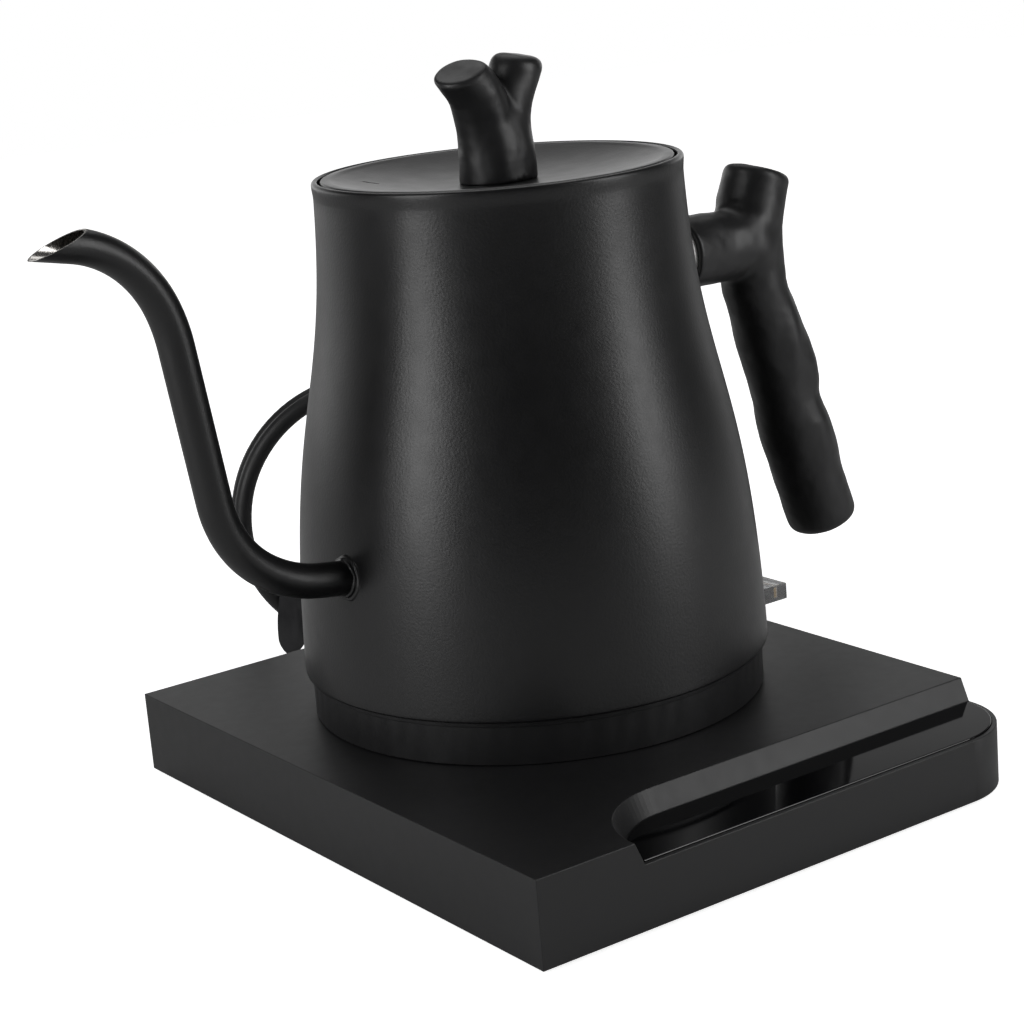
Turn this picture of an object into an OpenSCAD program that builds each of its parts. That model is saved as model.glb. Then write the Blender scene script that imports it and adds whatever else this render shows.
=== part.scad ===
// Gooseneck kettle with branch-shaped handle and knob, on a power base with a touch panel.
// Millimetres, +Z up. The origin is under the middle of the kettle and its base, on the table.

/* [Power base] */
// Width of the base, along the touch panel
base_w = 181.5; // [170:0.5:190]
// Depth of the base, from the panel to the cord
base_d = 214; // [206:1:222]
// Height of the base's top above the table
base_h = 27; // [26:0.5:28]
// Radius of the base's rounded front corner
corner_r = 24; // [20:1:28]
// Height of the rubber feet
foot_h = 1.4; // [1.4:0.1:3]
// Thickness of the base's walls
base_wall = 2.5; // [2:0.1:3]

/* [Kettle body] */
// Outer radius at the foot of the steel body
foot_r = 72; // [70:0.5:73]
// Outer radius at the neck, just under the rim
neck_r = 55.1; // [54:0.1:56]
// Height of the rim above the table
rim_z = 190.2; // [189:0.1:192]
// Thickness of the steel wall
shell_t = 1.1; // [0.8:0.1:1.3]
// How far the kettle is turned on its base, in degrees
turn = 6; // [0:0.5:45]

/* [Spout] */
// Outer diameter of the spout tube
spout_d = 10.3; // [9.8:0.1:11]
// Thickness of the spout's wall
spout_t = 0.8; // [0.6:0.1:1]

/* [Handle and knob] */
// Diameter of the handle's horizontal stem
stem_d = 23.4; // [22:0.2:25]
// Height of the stem's axis above the table
stem_z = 151.8; // [150:0.2:154]
// Diameter of the knob's trunk at the lid
trunk_d = 23; // [21:0.5:25]
// Diameter of the knob's two cut branches
branch_d = 16; // [14:0.5:17]

/* [Cord] */
// Diameter of the mains cord
cord_d = 6.3; // [6:0.1:6.8]
// Radius of the middle of the coil's turns
coil_r = 47.3; // [45:0.1:49]
// Number of turns in the coil
coil_turns = 2; // [2:1:2]

/* [Hidden] */
$fn = 96;

// Clearances: between bodies that move apart, and between pieces of one body
run_gap = 0.3;
fit_gap = 0.1;
// A cut goes this far past the face that it opens
past = 1;

// The base's middle, and the kettle's axis, which stands behind it
base_x = 6.5;
kettle_x = 6.75;
kettle_y = 14.5;
left_x = base_x - base_w / 2;
right_x = base_x + base_w / 2;
front_y = -base_d / 2;
back_y = base_d / 2;

// Touch recess: a sloping wall from the panel's level up to the top
recess_x = -24;
recess_low_r = 25;
recess_top_r = 28;
recess_z = base_h - 6.8;
glass_t = 1.6;
glass_top = recess_z + 0.4;
glass_inset = 1.6;
recess_gap = 0.7;

// Base housing
plate_t = 2;
plate_z = foot_h;
plate_top = plate_z + plate_t;
cavity_z = base_h - base_wall;
low_cavity_z = recess_z - glass_t - 1.8;
hole_r = 24;
post_inset = 11;
post_front_y = -62;
post_r = 3.6;
post_bore_r = 1.3;
pad_r = 6;
foot_inset = 12;

// Electronics: the touch board under the panel, and the power board on its posts
board_t = 1.6;
touch_size = [96, 16];
touch_at = [-20, front_y + 5];
power_size = [82, 48];
power_at = [-69, -62];
power_z = plate_top + 4;
parts_z = power_z + fit_gap + board_t + fit_gap;

// Clamp that holds the cord inside the back wall
clamp_y = 90;
clamp_size = [24, 8, 10];
clamp_post_h = 4.6;
clamp_screw_x = 8;
clamp_screw_y = clamp_y + clamp_size[1] / 2;
cord_in_y = 86;

// Cord exit in the back wall
exit_x = 3;
exit_z = 12;
relief_l = 27;
exit_r = 5.6;
cord_r = cord_d / 2;

// Kettle levels
skirt_z = base_h + run_gap;
skirt_top = 40;
skirt_r = 70;
floor_z = 48;
floor_t = 1.2;
probe_y = 30;
probe_r = 3;
element_r = 46;
element_gap = 20;
cutout_angle = 130;
skirt_screw_r = 58;
ledge_z = rim_z - 4.6;
ledge_r = 51;
rim_in_r = 53.6;
rim_r = 55.4;

// Connector: a boss on the base and a cup on the kettle, both round the kettle's axis
boss_r = 19;
boss_top = base_h + 12.5;
flange_z = 13;
pin_well_z = 18;
ring_well_z = base_h - 5;
pin_r = 4.6;
ring_r = 12.5;
ring_t = 1.6;
cup_r = 26;
cup_z = base_h + 2.5;
cup_top = 46;

// Lid
lid_r = 52.7;
lid_z = ledge_z + 1 + run_gap;
lid_dish = 4.6;
lid_t = 1;
screw_hole = 2.2;
vent_angle = 138;
vent_r = 37.8;
vent_turn = 62;
vent_l = 6;
vent_w = 0.9;
drum_r = 50.2;
drum_h = 10;
seal_r = ledge_r - run_gap;
crotch_z = 12;

// Spout centreline: straights and bends, starting inside the wall; lengths, radii and turns in degrees
spout_start = [56, 77.5];
spout_rise = 10;
spout_parts = [["go", 24], ["bend", 44, 26], ["bend", 34, 46], ["go", 45.6], ["bend", 48, -13.5],
    ["bend", 35, -58.5], ["go", 14]];
spout_sides = 24;
bend_step = 8;
mouth = [150, 190.3];
mouth_tilt = 18.4;

// Handle: middle of the grip as distance from the kettle's axis, height, and radius there
grip = [[110.2, 173.4, 10.9], [108.5, 169, 10.9], [106.2, 163, 11.2], [105, 156, 11.1], [105.1, 148, 11.2],
    [106.1, 136, 11.1], [109.3, 127, 11.2], [112.5, 117, 11.7], [115.9, 107.5, 12.1], [118.3, 96.5, 11.5],
    [121.2, 87.5, 12], [124.4, 78, 12.3], [127.3, 68, 12], [130.3, 58, 11.9], [132.3, 52, 11.8], [133, 49.7, 11.3]];
grip_sides = 24;
stem_in = 71.3;
spacer_in = 50;
spacer_r = 10.8;
bolt_r = 3;
bolt_end = 93;

// Cord: the coil stands on its rim behind the base, turned with its axis pointing back and right
coil_x = 43.2;
coil_y = 167;
coil_z = coil_r + cord_r + 0.15;
coil_turn = -20;
coil_w = coil_turns * cord_d;
// Middle of the lead from the strain relief to the coil
lead_route = [[3, 134.6, 12], [3.6, 140.6, 11.7], [5.4, 146.2, 10.9], [8.4, 151.3, 9.7], [12.4, 155.6, 8.3],
    [17.2, 159, 6.8], [22.6, 161.5, 5.5], [28.5, 162.8, 4.4], [34.7, 162.6, 3.6], [41, 161.1, 3.3]];
// Middle of the run from the coil to the plug
run_route = [[45.4, 172.9, 3.3], [54, 169.9, 3.3], [66, 166.1, 3.3], [79, 163.2, 3.3], [92, 161.7, 3.3],
    [104, 161.1, 3.3], [115, 161, 3.4], [125.5, 160.9, 3.8], [133, 159.8, 4.4], [139.6, 157, 5.2],
    [145.2, 152.8, 6.2], [149.6, 147, 7.1], [152.4, 140.2, 7.8], [153.5, 133, 8]];
cord_sides = 12;
cord_steps = 2;

// Tie: a strap round both passes of the coil, with a tail that hangs nearly to the table
tie_from = 222;
tie_span = 20;
tie_t = 1.3;
tail_x = -41;
tail_w = 10;
tail_low = 2.5;
tail_h = 14;

// Plug: flat on the table with its pins towards the front
plug_x = 153.5;
plug_y = 133;
plug_z = 8;
plug_w = 24;
plug_h = 15.6;
plug_l = 28;
plug_neck = 10;
plug_face = plug_y - plug_neck - plug_l;
blade_w = 3.9;
blade_t = 1.5;
blade_l = 17;
blade_gap = 12.7;
cover_w = 22;
cover_h = 6;
cover_l = 19;

// ---------- curves and sweeps ----------

function catmull(a, b, c, d, t) =
    0.5 * (2 * b + (c - a) * t + (2 * a - 5 * b + 4 * c - d) * t * t + (3 * b - a - 3 * c + d) * t * t * t);

// A smooth line through all the points, with n steps between neighbours
function smooth(p, n) = [for (i = [0 : len(p) - 2]) for (k = [0 : n - 1])
    catmull(p[max(i - 1, 0)], p[i], p[i + 1], p[min(i + 2, len(p) - 1)], k / n), p[len(p) - 1]];

function bezier(a, b, c, d, t) =
    pow(1 - t, 3) * a + 3 * t * pow(1 - t, 2) * b + 3 * t * t * (1 - t) * c + pow(t, 3) * d;

function unit(v) = v / norm(v);
function along(p, i) = unit(p[min(i + 1, len(p) - 1)] - p[max(i - 1, 0)]);

// A solid tube along points, with a radius at each; up is a direction that the line never follows
module sweep(points, radii, sides, up) {
    n = len(points);
    rings = [for (i = [0 : n - 1])
        let (t = along(points, i), a = unit(cross(up, t)), b = cross(t, a))
        for (k = [0 : sides - 1])
            points[i] + radii[i] * (a * cos(360 * k / sides) + b * sin(360 * k / sides))];
    walls = [for (i = [0 : n - 2]) for (k = [0 : sides - 1])
        [i * sides + k, (i + 1) * sides + k, (i + 1) * sides + (k + 1) % sides, i * sides + (k + 1) % sides]];
    ends = [[for (k = [0 : sides - 1]) k], [for (k = [sides - 1 : -1 : 0]) (n - 1) * sides + k]];
    polyhedron(rings, concat(walls, ends), convexity = 4);
}

module cord_tube(route) {
    points = smooth(route, cord_steps);
    sweep(points, [for (p = points) cord_r], cord_sides, [0, 0, 1]);
}

// Everything that turns with the kettle is drawn on its own axis and then placed
module on_axis() {
    translate([kettle_x, kettle_y, 0]) children();
}

module on_kettle() {
    on_axis() rotate([0, 0, turn]) children();
}

// ---------- power base ----------

module base_outline(inset) {
    r = corner_r - inset;
    difference() {
        translate([left_x + inset, front_y + inset])
            square([base_w - 2 * inset, base_d - 2 * inset]);
        translate([right_x - inset - r, front_y + inset])
            difference() {
                translate([0, -past])
                    square([r + past, r + past]);
                translate([0, r])
                    circle(r);
            }
    }
}

// Plan of the touch recess, wider by the slope at the top; it runs out through the front and the right
module recess_outline(r) {
    translate([recess_x, front_y]) circle(r);
    translate([recess_x, front_y - r])
        square([right_x - recess_x + 2 * past, 2 * r]);
}

module recess() {
    hull() {
        translate([0, 0, recess_z])
            linear_extrude(0.01) recess_outline(recess_low_r);
        translate([0, 0, base_h + 0.01])
            linear_extrude(0.01) recess_outline(recess_top_r);
    }
}

module at_posts() {
    for (x = [left_x + post_inset, right_x - post_inset], y = [post_front_y, back_y - post_inset])
        translate([x, y]) children();
}

module base_cover() {
    color([0.07, 0.07, 0.075])
    difference() {
        translate([0, 0, plate_z])
            linear_extrude(base_h - plate_z) base_outline(0);
        // hollow inside, lower under the recess
        translate([0, 0, plate_z - past])
            linear_extrude(low_cavity_z - plate_z + past) base_outline(base_wall);
        translate([left_x + base_wall, front_y + recess_top_r + base_wall, plate_z])
            cube([base_w - 2 * base_wall, base_d - recess_top_r - 2 * base_wall, cavity_z - plate_z]);
        recess();
        // pocket that the touch glass lies in
        translate([0, 0, glass_top - glass_t])
            linear_extrude(glass_t + past) glass_outline(fit_gap);
        on_axis() cylinder(h = base_h + past, r = hole_r);
        translate([exit_x, back_y + past, exit_z])
            rotate([90, 0, 0]) cylinder(h = base_wall + 2 * past, r = exit_r);
    }
    // screw posts under the top
    color([0.07, 0.07, 0.075])
    at_posts()
        translate([0, 0, plate_top + fit_gap])
            difference() {
                cylinder(h = cavity_z - plate_top - fit_gap, r = post_r);
                translate([0, 0, -past]) cylinder(h = 11 + past, r = post_bore_r);
            }
}

// Plan of the touch glass, grown by a gap to make the pocket that it lies in
module glass_outline(grow) {
    r = recess_low_r - recess_gap + grow;
    intersection() {
        base_outline(glass_inset - grow);
        translate([recess_x, front_y]) {
            circle(r);
            translate([0, -r])
                square([base_w, 2 * r]);
        }
    }
}

module touch_glass() {
    color([0.02, 0.02, 0.025])
    translate([0, 0, glass_top - glass_t + fit_gap])
        linear_extrude(glass_t - fit_gap) glass_outline(0);
}

module touch_board() {
    color([0.1, 0.3, 0.15])
    translate([touch_at[0], touch_at[1], low_cavity_z - fit_gap - board_t])
        cube([touch_size[0], touch_size[1], board_t]);
}

module base_bottom() {
    color([0.05, 0.05, 0.05])
    difference() {
        union() {
            translate([0, 0, plate_z])
                linear_extrude(plate_t) base_outline(base_wall + fit_gap);
            // posts that carry the power board
            for (x = [3, power_size[0] - 9], y = [6, power_size[1] - 6])
                translate([power_at[0] + x, power_at[1] + y, plate_top]) cylinder(h = power_z - plate_top, r = 3);
            at_clamp_screws(plate_top) cylinder(h = clamp_post_h, r = 3.2);
        }
        at_posts() translate([0, 0, plate_z - past]) cylinder(h = plate_t + 2 * past, r = 1.8);
        at_clamp_screws(plate_top + 1) cylinder(h = 5, r = 1.2);
    }
}

module base_feet() {
    color([0.12, 0.12, 0.12])
    for (x = [left_x + foot_inset, right_x - foot_inset], y = [front_y + corner_r + 2, back_y - corner_r - 2])
        translate([x, y, 0]) cylinder(h = foot_h, r = pad_r);
}

module base_screws() {
    color([0.6, 0.6, 0.62])
    at_posts() {
        translate([0, 0, plate_z - 1.2]) cylinder(h = 1.1, r = 2.8);
        translate([0, 0, plate_z - 0.2]) cylinder(h = 9, r = 1.2);
    }
}

module power_board() {
    color([0.1, 0.3, 0.15])
    translate([power_at[0], power_at[1], power_z + fit_gap])
        cube([power_size[0], power_size[1], board_t]);
}

module on_board(x, y) {
    translate([x, y, parts_z]) children();
}

module transformer() {
    color([0.8, 0.7, 0.2])
    on_board(-66, -50) {
        cube([20, 18, 11]);
        translate([-2, 3, 2]) cube([24, 12, 7]);
    }
}

module relay() {
    color([0.15, 0.25, 0.5])
    on_board(-36, -48) cube([19, 15.5, 11.5]);
}

module buzzer() {
    color([0.1, 0.1, 0.1])
    on_board(-4, -38)
        difference() {
            cylinder(h = 7, r = 6);
            translate([0, 0, 5]) cylinder(h = 3, r = 1.2);
        }
}

// Base half of the connector: a flange on the cover, a boss above it, a pin hole and a ring slot
module base_connector() {
    color([0.1, 0.1, 0.1])
    on_axis()
        difference() {
            union() {
                translate([0, 0, flange_z]) cylinder(h = base_h - flange_z, r = hole_r - fit_gap);
                translate([0, 0, base_h - past]) cylinder(h = boss_top - base_h + past, r = boss_r);
            }
            translate([0, 0, pin_well_z]) cylinder(h = boss_top, r = pin_r + 0.6);
            translate([0, 0, ring_well_z])
                difference() {
                    cylinder(h = boss_top, r = ring_r + ring_t / 2 + 0.7);
                    translate([0, 0, -past]) cylinder(h = boss_top + 2 * past, r = ring_r - ring_t / 2 - 0.7);
                }
        }
}

module connector_contacts() {
    color([0.8, 0.6, 0.25])
    on_axis() {
        translate([0, 0, pin_well_z + fit_gap]) cylinder(h = 4, r = 2);
        translate([0, 0, ring_well_z + fit_gap])
            difference() {
                cylinder(h = 1.5, r = ring_r + 1);
                translate([0, 0, -past]) cylinder(h = 4, r = ring_r - 1);
            }
    }
}

// ---------- cord ----------

module strain_relief() {
    color([0.06, 0.06, 0.06])
    translate([exit_x, 0, exit_z]) rotate([-90, 0, 0]) {
        translate([0, 0, back_y - base_wall - 2.1]) cylinder(h = 2, r = exit_r + 1.8);
        translate([0, 0, back_y - base_wall - 0.2]) cylinder(h = base_wall + 0.4, r = exit_r - fit_gap);
        translate([0, 0, back_y + fit_gap]) cylinder(h = relief_l - fit_gap, r1 = 6.4, r2 = 4.2);
    }
}

module cord_inner() {
    color([0.05, 0.05, 0.05])
    translate([exit_x, cord_in_y, exit_z]) rotate([-90, 0, 0])
        cylinder(h = back_y - base_wall - 2.2 - cord_in_y, r = cord_r);
}

module at_clamp_screws(z) {
    for (s = [-1, 1])
        translate([exit_x + s * clamp_screw_x, clamp_screw_y, z]) children();
}

module cord_clamp() {
    low = plate_top + clamp_post_h + fit_gap;
    color([0.05, 0.05, 0.05])
    difference() {
        translate([exit_x - clamp_size[0] / 2, clamp_y, low]) cube(clamp_size);
        translate([exit_x, clamp_y - past, exit_z]) rotate([-90, 0, 0])
            cylinder(h = clamp_size[1] + 2 * past, r = cord_r + 0.02);
        at_clamp_screws(low - past) cylinder(h = clamp_size[2] + 2 * past, r = 1.5);
    }
}

module clamp_screws() {
    top = plate_top + clamp_post_h + fit_gap + clamp_size[2];
    color([0.6, 0.6, 0.62]) {
        at_clamp_screws(plate_top + 1.6) cylinder(h = top - plate_top - 1.4, r = 1.1);
        at_clamp_screws(top + fit_gap) cylinder(h = 1.6, r = 2.4);
    }
}

module cord_lead() {
    color([0.05, 0.05, 0.05]) cord_tube(lead_route);
}

module cord_run() {
    color([0.05, 0.05, 0.05]) cord_tube(run_route);
}

// Places a ring-shaped piece upright, with its axis level
module as_coil() {
    translate([coil_x, coil_y, coil_z]) rotate([0, 0, coil_turn]) rotate([90, 0, 0]) children();
}

module cord_coil() {
    color([0.05, 0.05, 0.05])
    as_coil() rotate_extrude()
        translate([coil_r - cord_r, -coil_w / 2]) square([cord_d, coil_w]);
}

module cord_tie() {
    inner = coil_r - cord_r - fit_gap;
    outer = coil_r + cord_r + fit_gap;
    across = coil_w + 2 * fit_gap;
    color([0.08, 0.08, 0.08])
    as_coil() {
        rotate([0, 0, tie_from]) rotate_extrude(angle = tie_span)
            difference() {
                translate([inner - tie_t, -across / 2 - tie_t])
                    square([outer - inner + 2 * tie_t, across + 2 * tie_t]);
                translate([inner, -across / 2]) square([outer - inner, across]);
            }
        difference() {
            translate([tail_x, tail_low - coil_z, -across / 2]) cube([tail_w, tail_h, across]);
            translate([0, 0, -across]) cylinder(h = 2 * across, r = outer);
        }
    }
}

module plug() {
    color([0.05, 0.05, 0.05])
    translate([plug_x, plug_y, plug_z]) rotate([90, 0, 0]) {
        cylinder(h = plug_neck + 1, r1 = 4, r2 = 5);
        translate([0, 0, plug_neck])
            intersection() {
                translate([-plug_w / 2, -plug_h / 2, 0]) cube([plug_w, plug_h, plug_l]);
                translate([0, 0, -2]) cylinder(h = plug_l + 4, r1 = 9, r2 = 17);
            }
    }
}

module plug_pins() {
    color([0.8, 0.65, 0.3])
    for (s = [-1, 1])
        translate([plug_x + s * blade_gap / 2 - blade_t / 2, plug_face - blade_l - 0.05, plug_z - blade_w / 2])
            cube([blade_t, blade_l, blade_w]);
}

module pin_cover() {
    color([0.85, 0.88, 0.9, 0.4])
    difference() {
        translate([plug_x - cover_w / 2, plug_face - 0.1 - cover_l, plug_z - cover_h / 2])
            cube([cover_w, cover_l, cover_h]);
        for (s = [-1, 1])
            translate([plug_x + s * blade_gap / 2 - blade_t / 2 - fit_gap, plug_face - blade_l - 0.3,
                plug_z - blade_w / 2 - fit_gap])
                cube([blade_t + 2 * fit_gap, blade_l + past, blade_w + 2 * fit_gap]);
    }
}

// ---------- kettle half of the connector ----------

module kettle_connector() {
    color([0.1, 0.1, 0.1])
    on_axis()
        difference() {
            translate([0, 0, cup_z]) cylinder(h = cup_top - cup_z, r = cup_r);
            translate([0, 0, cup_z - past]) cylinder(h = boss_top + 0.6 - cup_z + past, r = boss_r + 0.6);
            translate([0, 0, boss_top]) cylinder(h = 3, r = pin_r - 1);
        }
}

module kettle_contacts() {
    color([0.8, 0.6, 0.25])
    on_axis() {
        translate([0, 0, base_h - 3]) cylinder(h = boss_top + 0.5 - base_h + 3, r = pin_r - 1.6);
        translate([0, 0, base_h - 2])
            difference() {
                cylinder(h = boss_top + 0.5 - base_h + 2, r = ring_r + ring_t / 2);
                translate([0, 0, -past]) cylinder(h = 30, r = ring_r - ring_t / 2);
            }
    }
}

// ---------- kettle ----------

// Outer profile of the steel body, from the foot up to the neck, as distance from the axis and height
function side_points(inset) = [for (i = [0 : 16])
    bezier([foot_r, 42], [foot_r - 2.1, 125.7], [neck_r + 1.8, 122], [neck_r, 185], i / 16) - [inset, 0]];

module kettle_shell() {
    color([0.06, 0.06, 0.065])
    difference() {
        on_kettle() {
            rotate_extrude()
                polygon(concat(
                    [[foot_r - shell_t, skirt_top + 0.5], [foot_r - 0.8, skirt_top + 0.5]],
                    side_points(0),
                    [[rim_r - 0.6, rim_z - 2.6], [rim_r, rim_z - 1.4], [rim_r, rim_z - 0.5], [rim_r - 0.5, rim_z],
                     [rim_in_r + 0.3, rim_z], [rim_in_r, rim_z - 0.3], [rim_in_r, ledge_z + 1],
                     [ledge_r, ledge_z + 1], [ledge_r, ledge_z], [neck_r - shell_t, ledge_z - 0.6]],
                    [for (i = [16 : -1 : 0]) side_points(shell_t)[i]]));
        }
        // hole for the spout's root
        on_kettle() spout_frame() translate([0, 0, 2]) cylinder(h = 24, r = spout_d / 2 + 0.05);
        // hole for the handle's bolt
        on_kettle() translate([40, 0, stem_z]) rotate([0, 90, 0]) cylinder(h = 30, r = bolt_r + 0.2);
    }
}

module kettle_floor() {
    r = side_radius(floor_z) - shell_t - fit_gap;
    color([0.75, 0.75, 0.77])
    on_kettle()
        difference() {
            translate([0, 0, floor_z]) cylinder(h = floor_t, r = r);
            translate([0, probe_y, floor_z - past]) cylinder(h = floor_t + 2 * past, r = probe_r + 0.05);
        }
}

// Distance of the outer side from the axis at a height near the foot
function side_radius(z) = lookup(z, [for (p = side_points(0)) [p[1], p[0]]]);

module heating_element() {
    color([0.5, 0.5, 0.52])
    on_kettle()
        translate([0, 0, floor_z - 4.1]) {
            rotate([0, 0, element_gap]) rotate_extrude(angle = 360 - 2 * element_gap)
                translate([element_r, 0]) circle(r = 4, $fn = 32);
            for (s = [-1, 1])
                rotate([0, 0, s * element_gap]) translate([element_r, 0, -8]) cylinder(h = 6, r = 1.5);
        }
}

module temperature_probe() {
    color([0.75, 0.75, 0.77])
    on_kettle()
        translate([0, probe_y, floor_z - 5]) {
            cylinder(h = 13, r = probe_r);
            cylinder(h = 4.9, r = probe_r + 0.8);
        }
}

module thermal_cutout() {
    color([0.1, 0.1, 0.1])
    on_kettle()
        for (s = [-1, 1])
            rotate([0, 0, s * cutout_angle]) translate([34, 0, floor_z - 5.1]) {
                cylinder(h = 5, r = 6);
                translate([-3, -9, 0]) cube([6, 18, 2]);
            }
}

module kettle_skirt() {
    color([0.05, 0.05, 0.05])
    on_kettle()
        difference() {
            union() {
                translate([0, 0, skirt_z]) cylinder(h = skirt_top - skirt_z, r = skirt_r);
                translate([0, 0, skirt_top - past]) cylinder(h = 6, r = foot_r - shell_t - 0.3);
            }
            translate([0, 0, skirt_z + 2]) cylinder(h = 30, r = skirt_r - 2.4);
            translate([0, 0, skirt_z - past]) cylinder(h = 30, r = cup_r + run_gap);
            skirt_holes() cylinder(h = 6, r = 1.7);
        }
}

module skirt_holes() {
    for (a = [60, 180, 300])
        rotate([0, 0, a]) translate([skirt_screw_r, 0, skirt_z - past]) children();
}

module skirt_screws() {
    color([0.6, 0.6, 0.62])
    on_kettle() skirt_holes() {
        translate([0, 0, past + 0.2]) cylinder(h = 8, r = 1.5);
        translate([0, 0, past + 2.1]) cylinder(h = 1.4, r = 3);
    }
}

// The spout's root: its tube starts here, on the side away from the handle, rising outwards
module spout_frame() {
    rotate([0, 0, 180]) translate([spout_start[0], 0, spout_start[1]]) rotate([0, 90 - spout_rise, 0]) children();
}

// Points down a chain of straights and bends in the spout's plane: each part starts where the one before ended
function pipe_line(parts, p, heading, i = 0) = i == len(parts) ? [p] :
    let (part = parts[i])
    part[0] == "go" ?
        concat([p], pipe_line(parts, p + part[1] * [cos(heading), sin(heading)], heading, i + 1)) :
    let (s = sign(part[2]), middle = p + s * part[1] * [-sin(heading), cos(heading)],
        steps = ceil(abs(part[2]) / bend_step),
        at = function(a) middle + s * part[1] * [sin(heading + a), -cos(heading + a)])
    concat([for (k = [0 : steps - 1]) at(part[2] * k / steps)],
        pipe_line(parts, at(part[2]), heading + part[2], i + 1));

// The spout as a solid rod; a hollow one is the difference of two. It starts further in by a length
module spout_rod(r, further) {
    line = pipe_line(spout_parts, spout_start, spout_rise);
    first = spout_start - further * [cos(spout_rise), sin(spout_rise)];
    points = [for (i = [0 : len(line) - 1]) let (p = i == 0 ? first : line[i]) [p[0], 0, p[1]]];
    rotate([0, 0, 180]) sweep(points, [for (p = points) r], spout_sides, [0, 1, 0]);
}

// Half-space beyond the spout's slanting mouth
module beyond_mouth() {
    rotate([0, 0, 180]) translate([mouth[0], 0, mouth[1]]) rotate([0, mouth_tilt, 0])
        translate([-40, -20, 0]) cube([80, 40, 30]);
}

module spout() {
    color([0.06, 0.06, 0.065])
    on_kettle()
        difference() {
            spout_rod(spout_d / 2, 0);
            spout_rod(spout_d / 2 - spout_t, past);
            beyond_mouth();
            // trimmed flush inside the steel wall
            translate([0, 0, spout_start[1] - 20]) cylinder(h = 40, r = side_radius(79) - shell_t - 2);
        }
}

module spout_collar() {
    color([0.06, 0.06, 0.065])
    on_kettle()
        difference() {
            spout_frame() translate([0, 0, 12])
                cylinder(h = 5.2, r1 = spout_d / 2 + 2.4, r2 = spout_d / 2 + 1);
            spout_frame() cylinder(h = 30, r = spout_d / 2 + 0.03);
            rotate_extrude() polygon(concat([[0, 42], [foot_r, 42]], side_points(-0.05), [[0, 185]]));
        }
}

// ---------- handle ----------

// Places a round piece on the stem's axis, with +Z pointing outwards
module on_stem(x) {
    on_kettle() translate([x, 0, stem_z]) rotate([0, 90, 0]) children();
}

module handle_boss() {
    color([0.75, 0.75, 0.77])
    difference() {
        on_stem(spacer_in) cylinder(h = 3.6, r = 9);
        on_stem(spacer_in - past) cylinder(h = 30, r = bolt_r + fit_gap);
    }
}

module handle_spacer() {
    color([0.75, 0.75, 0.77])
    difference() {
        on_stem(spacer_in) cylinder(h = stem_in - spacer_in - 0.05, r = spacer_r);
        on_stem(spacer_in - past) cylinder(h = 60, r = bolt_r + fit_gap);
        on_kettle() rotate_extrude()
            polygon(concat([[0, 42], [foot_r, 42]], side_points(-0.05), [[0, 185]]));
    }
}

module handle_bolt() {
    color([0.6, 0.6, 0.62])
    {
        on_stem(spacer_in - 3.2) cylinder(h = 2.8, r = 5.5);
        on_stem(spacer_in - past) cylinder(h = bolt_end - spacer_in + past, r = bolt_r);
    }
}

module handle() {
    line = smooth(grip, 2);
    points = [for (g = line) [g[0], 0, g[1]]];
    radii = [for (g = line) g[2]];
    color([0.06, 0.06, 0.06])
    difference() {
        union() {
            on_kettle() sweep(points, radii, grip_sides, [0, 1, 0]);
            on_stem(stem_in) cylinder(h = 30, r = stem_d / 2);
        }
        on_stem(stem_in - past) cylinder(h = bolt_end + 0.6 - stem_in + past, r = bolt_r + 0.05);
    }
}

// ---------- lid ----------

// Height of the lid's dished top at a distance from its middle
function dish(x) = rim_z - lid_dish + (lid_dish - 0.4) * pow(x / (lid_r - 4), 2.4);

module lid_plate() {
    steps = 10;
    across = [for (i = [0 : steps]) screw_hole + (lid_r - 4 - screw_hole) * i / steps];
    color([0.06, 0.06, 0.065])
    on_kettle()
        difference() {
            rotate_extrude()
                polygon(concat(
                    [for (x = across) [x, dish(x)]],
                    [[lid_r - 2.6, rim_z], [lid_r - 0.6, rim_z], [lid_r, rim_z - 0.6], [lid_r, lid_z],
                        [lid_r - 4, lid_z]],
                    [for (i = [steps : -1 : 0]) [across[i], dish(across[i]) - lid_t]]));
            // steam slot on the spout's side
            rotate([0, 0, vent_angle]) translate([vent_r, 0, rim_z - 2 * lid_dish]) rotate([0, 0, vent_turn])
                translate([-vent_w / 2, -vent_l / 2, 0])
                    cube([vent_w, vent_l, 3 * lid_dish]);
        }
}

// A cup under the plate, with a groove for the seal and a boss for the knob's screw
module lid_drum() {
    wall_r = drum_r - 1;
    bottom = lid_z - drum_h;
    groove = lid_z - 6.2;
    color([0.75, 0.75, 0.77])
    on_kettle()
        rotate_extrude()
            polygon([[screw_hole, bottom], [wall_r, bottom], [wall_r, groove], [wall_r - 1.4, groove],
                [wall_r - 1.4, groove + 3], [wall_r, groove + 3], [wall_r, lid_z - 1.2], [drum_r, lid_z - 1.2],
                [drum_r, lid_z - fit_gap], [wall_r - 2.6, lid_z - fit_gap], [wall_r - 2.6, bottom + 1.2],
                [6, bottom + 1.2], [6, rim_z - lid_dish - lid_t - fit_gap],
                [screw_hole, rim_z - lid_dish - lid_t - fit_gap]]);
}

module lid_seal() {
    color([0.85, 0.85, 0.85])
    on_kettle()
        translate([0, 0, lid_z - 6.1])
            difference() {
                cylinder(h = 2.8, r = seal_r);
                translate([0, 0, -past]) cylinder(h = 5, r = drum_r - 2.3);
            }
}

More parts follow.
